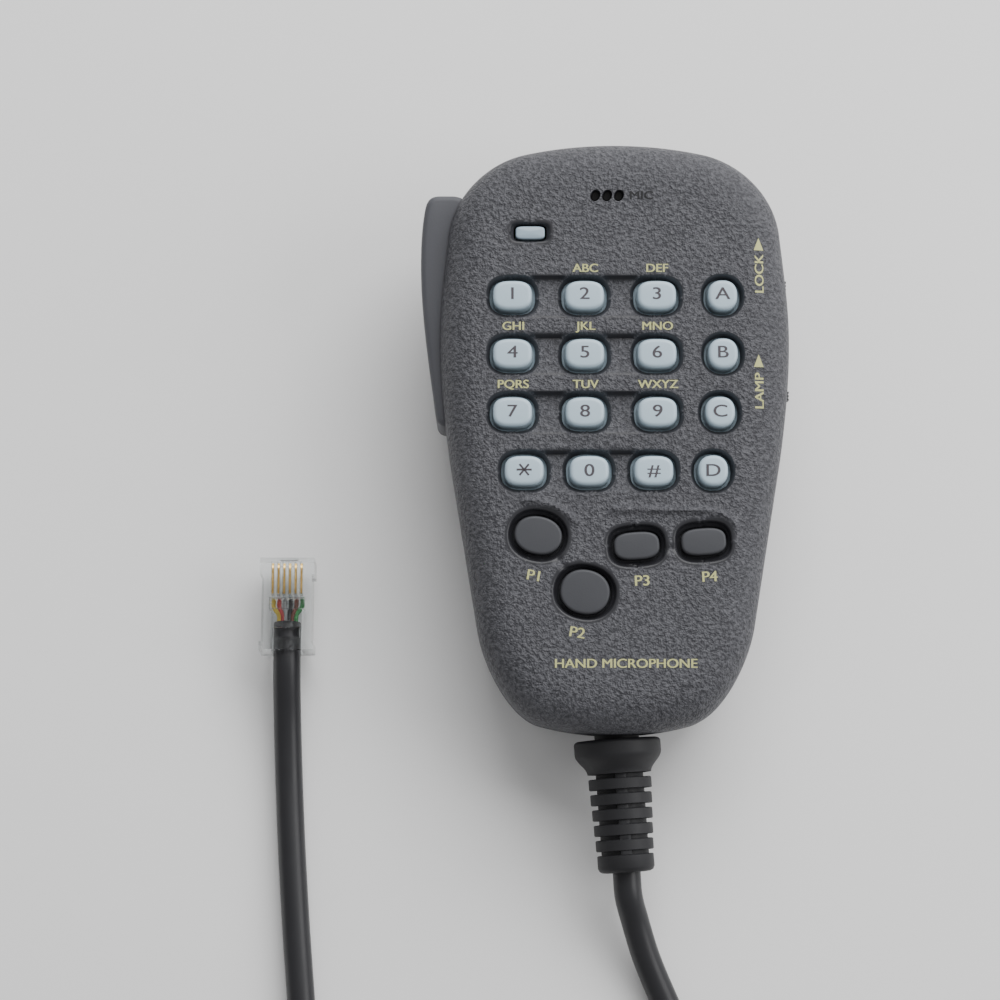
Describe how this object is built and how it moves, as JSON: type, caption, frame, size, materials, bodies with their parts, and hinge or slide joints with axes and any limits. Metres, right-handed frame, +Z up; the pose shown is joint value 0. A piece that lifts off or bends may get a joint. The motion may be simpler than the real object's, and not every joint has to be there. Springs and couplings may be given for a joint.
{
  "type": "hand microphone",
  "caption": "Hand microphone with keypad, program keys, press-to-talk bar, hanger stud, ribbed strain relief, curly cord and clear six-way modular plug.",
  "frame": {"origin": "On the surface that the microphone lies on, below the middle of its case.", "axes": "+X to the microphone's right side as its face is read, +Y to its top end, +Z up, out of the face."},
  "size_m": [0.0936, 0.2769, 0.0354],
  "materials": {
    "case_plastic": "leather-grain moulded plastic",
    "bar_plastic": "fine satin moulded plastic",
    "key_plastic": "satin moulded plastic",
    "program_key_plastic": "soft matte",
    "window_plastic": "frosted translucent",
    "silicone": "matte",
    "black_rubber": "matte",
    "board": "solder mask",
    "black_plastic": "satin",
    "led_plastic": "diffused",
    "capsule_metal": "drawn can",
    "steel": "zinc plated",
    "stud_plastic": "satin",
    "cord_jacket": "semi-matte jacket",
    "clear_plastic": "clear polycarbonate",
    "contact_gold": "gold plated"
  },
  "bodies": {
    "microphone": {"front_case": "case_plastic", "rear_case": "case_plastic", "light_window": "window_plastic", "keypad_mat": "silicone", "program_mat": "silicone", "mic_boot": "black_rubber", "main_board": "board", "controller_chip": "black_plastic", "status_led": "led_plastic", "mic_capsule": "capsule_metal", "ptt_pin": "steel", "ptt_switch": "black_plastic", "lock_switch": "steel", "lamp_switch": "steel", "hanger_stud": "stud_plastic", "hanger_screw": "steel", "strain_relief": "black_rubber", "cord_mic_end": "cord_jacket", "cord_curl": "cord_jacket", "cord_plug_end": "cord_jacket", "plug_shell": "clear_plastic", "case_screw_1": "steel", "case_screw_2": "steel", "case_screw_3": "steel", "case_screw_4": "steel", "plug_contact_1": "contact_gold", "plug_contact_2": "contact_gold", "plug_contact_3": "contact_gold", "plug_contact_4": "contact_gold", "plug_contact_5": "contact_gold", "plug_contact_6": "contact_gold"},
    "key_1_cap": {"key_1": "key_plastic"},
    "key_2_cap": {"key_2": "key_plastic"},
    "key_3_cap": {"key_3": "key_plastic"},
    "key_4_cap": {"key_4": "key_plastic"},
    "key_5_cap": {"key_5": "key_plastic"},
    "key_6_cap": {"key_6": "key_plastic"},
    "key_7_cap": {"key_7": "key_plastic"},
    "key_8_cap": {"key_8": "key_plastic"},
    "key_9_cap": {"key_9": "key_plastic"},
    "key_star_cap": {"key_star": "key_plastic"},
    "key_0_cap": {"key_0": "key_plastic"},
    "key_hash_cap": {"key_hash": "key_plastic"},
    "key_A_cap": {"key_A": "key_plastic"},
    "key_B_cap": {"key_B": "key_plastic"},
    "key_C_cap": {"key_C": "key_plastic"},
    "key_D_cap": {"key_D": "key_plastic"},
    "program_key_1_cap": {"program_key_1": "program_key_plastic"},
    "program_key_2_cap": {"program_key_2": "program_key_plastic"},
    "program_key_3_cap": {"program_key_3": "program_key_plastic"},
    "program_key_4_cap": {"program_key_4": "program_key_plastic"},
    "up_key_cap": {"up_key": "bar_plastic"},
    "down_key_cap": {"down_key": "bar_plastic"},
    "ptt": {"ptt_bar": "bar_plastic"},
    "plunger": {"ptt_plunger": "black_plastic"},
    "lock": {"lock_slide": "black_plastic"},
    "lamp": {"lamp_slide": "black_plastic"},
    "latch": {"plug_latch": "clear_plastic"}
  },
  "joints": [
    {"name": "key_1_press", "type": "slide", "parent": "microphone", "child": "key_1_cap", "axis": [0, 0.107, -0.9943], "range_m": [0, 0.001], "stiffness_N_per_m": 400},
    {"name": "key_2_press", "type": "slide", "parent": "microphone", "child": "key_2_cap", "axis": [0, 0.107, -0.9943], "range_m": [0, 0.001], "stiffness_N_per_m": 400},
    {"name": "key_3_press", "type": "slide", "parent": "microphone", "child": "key_3_cap", "axis": [0, 0.107, -0.9943], "range_m": [0, 0.001], "stiffness_N_per_m": 400},
    {"name": "key_4_press", "type": "slide", "parent": "microphone", "child": "key_4_cap", "axis": [0, 0.107, -0.9943], "range_m": [0, 0.001], "stiffness_N_per_m": 400},
    {"name": "key_5_press", "type": "slide", "parent": "microphone", "child": "key_5_cap", "axis": [0, 0.107, -0.9943], "range_m": [0, 0.001], "stiffness_N_per_m": 400},
    {"name": "key_6_press", "type": "slide", "parent": "microphone", "child": "key_6_cap", "axis": [0, 0.107, -0.9943], "range_m": [0, 0.001], "stiffness_N_per_m": 400},
    {"name": "key_7_press", "type": "slide", "parent": "microphone", "child": "key_7_cap", "axis": [0, 0.107, -0.9943], "range_m": [0, 0.001], "stiffness_N_per_m": 400},
    {"name": "key_8_press", "type": "slide", "parent": "microphone", "child": "key_8_cap", "axis": [0, 0.107, -0.9943], "range_m": [0, 0.001], "stiffness_N_per_m": 400},
    {"name": "key_9_press", "type": "slide", "parent": "microphone", "child": "key_9_cap", "axis": [0, 0.107, -0.9943], "range_m": [0, 0.001], "stiffness_N_per_m": 400},
    {"name": "key_star_press", "type": "slide", "parent": "microphone", "child": "key_star_cap", "axis": [0, 0.107, -0.9943], "range_m": [0, 0.001], "stiffness_N_per_m": 400},
    {"name": "key_0_press", "type": "slide", "parent": "microphone", "child": "key_0_cap", "axis": [0, 0.107, -0.9943], "range_m": [0, 0.001], "stiffness_N_per_m": 400},
    {"name": "key_hash_press", "type": "slide", "parent": "microphone", "child": "key_hash_cap", "axis": [0, 0.107, -0.9943], "range_m": [0, 0.001], "stiffness_N_per_m": 400},
    {"name": "key_A_press", "type": "slide", "parent": "microphone", "child": "key_A_cap", "axis": [0, 0.107, -0.9943], "range_m": [0, 0.001], "stiffness_N_per_m": 400},
    {"name": "key_B_press", "type": "slide", "parent": "microphone", "child": "key_B_cap", "axis": [0, 0.107, -0.9943], "range_m": [0, 0.001], "stiffness_N_per_m": 400},
    {"name": "key_C_press", "type": "slide", "parent": "microphone", "child": "key_C_cap", "axis": [0, 0.107, -0.9943], "range_m": [0, 0.001], "stiffness_N_per_m": 400},
    {"name": "key_D_press", "type": "slide", "parent": "microphone", "child": "key_D_cap", "axis": [0, 0.107, -0.9943], "range_m": [0, 0.001], "stiffness_N_per_m": 400},
    {"name": "program_key_1_press", "type": "slide", "parent": "microphone", "child": "program_key_1_cap", "axis": [0, 0.107, -0.9943], "range_m": [0, 0.001], "stiffness_N_per_m": 400},
    {"name": "program_key_2_press", "type": "slide", "parent": "microphone", "child": "program_key_2_cap", "axis": [0, 0.107, -0.9943], "range_m": [0, 0.001], "stiffness_N_per_m": 400},
    {"name": "program_key_3_press", "type": "slide", "parent": "microphone", "child": "program_key_3_cap", "axis": [0, 0.107, -0.9943], "range_m": [0, 0.001], "stiffness_N_per_m": 400},
    {"name": "program_key_4_press", "type": "slide", "parent": "microphone", "child": "program_key_4_cap", "axis": [0, 0.107, -0.9943], "range_m": [0, 0.001], "stiffness_N_per_m": 400},
    {"name": "up_key_press", "type": "slide", "parent": "microphone", "child": "up_key_cap", "axis": [-0.1045, -0.9888, -0.1064], "range_m": [0, 0.0008], "stiffness_N_per_m": 500},
    {"name": "down_key_press", "type": "slide", "parent": "microphone", "child": "down_key_cap", "axis": [0.1045, -0.9888, -0.1064], "range_m": [0, 0.0008], "stiffness_N_per_m": 500},
    {"name": "ptt_squeeze", "type": "hinge", "parent": "microphone", "child": "ptt", "pos_m": [-0.02435, 0.00423, 0.01851], "axis": [0, 0.107, -0.9943], "range_deg": [0, 2.8], "stiffness_Nm_per_rad": 2.4},
    {"name": "plunger_press", "type": "slide", "parent": "microphone", "child": "plunger", "axis": [1, 0, 0], "range_m": [0, 0.0013]},
    {"name": "lock_shift", "type": "slide", "parent": "microphone", "child": "lock", "axis": [0, 0.9943, 0.107], "range_m": [0, 0.002]},
    {"name": "lamp_shift", "type": "slide", "parent": "microphone", "child": "lamp", "axis": [0, 0.9943, 0.107], "range_m": [0, 0.002]},
    {"name": "latch_flex", "type": "hinge", "parent": "microphone", "child": "latch", "pos_m": [-0.0565, -0.01985, 0.00265], "axis": [-1, 0, 0], "range_deg": [0, 6], "stiffness_Nm_per_rad": 0.3}
  ],
  "couplings": [
    {"joint": "plunger_press", "follows": "ptt_squeeze", "m_per_rad": 0.0258}
  ]
}
